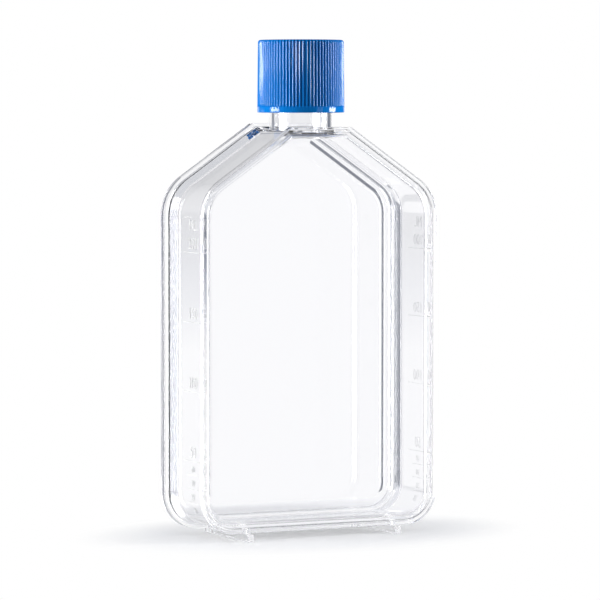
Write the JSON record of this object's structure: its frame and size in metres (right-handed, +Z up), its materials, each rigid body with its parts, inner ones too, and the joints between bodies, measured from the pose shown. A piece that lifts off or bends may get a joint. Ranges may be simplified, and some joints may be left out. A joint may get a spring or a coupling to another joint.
{
  "type": "cell culture flask",
  "caption": "Clear upright cell culture flask with sloped shoulders, a flat base plate for growing cells, short runners to stand on and a knurled blue screw cap.",
  "frame": {"origin": "on the ground under the middle of the flask's box: the runners stand on Z 0 and the neck's axis passes 1.4 mm behind the origin", "axes": "+Z up along the neck, +X to the right of the front window, +Y from the front window to the base plate"},
  "size_m": [0.0894, 0.0348, 0.1665],
  "materials": {
    "clear_polystyrene": "polished, clear",
    "blue_polyethylene": "semi-gloss moulded",
    "white_foam": "matte, closed-cell"
  },
  "bodies": {
    "flask": {"flask_body": "clear_polystyrene", "base_plate": "clear_polystyrene"},
    "liner": {"cap_liner": "white_foam"},
    "cap": {"screw_cap": "blue_polyethylene"}
  },
  "joints": [
    {"name": "cap_lift", "type": "slide", "parent": "flask", "child": "liner", "axis": [0, 0, 1], "range_m": [0, 0.025]},
    {"name": "cap_turn", "type": "hinge", "parent": "liner", "child": "cap", "pos_m": [0, 0.0014, 0.154], "axis": [0, 0, 1], "range_deg": [0, 2520]}
  ],
  "couplings": [
    {"joint": "cap_lift", "follows": "cap_turn", "m_per_rad": 0.00055704}
  ]
}
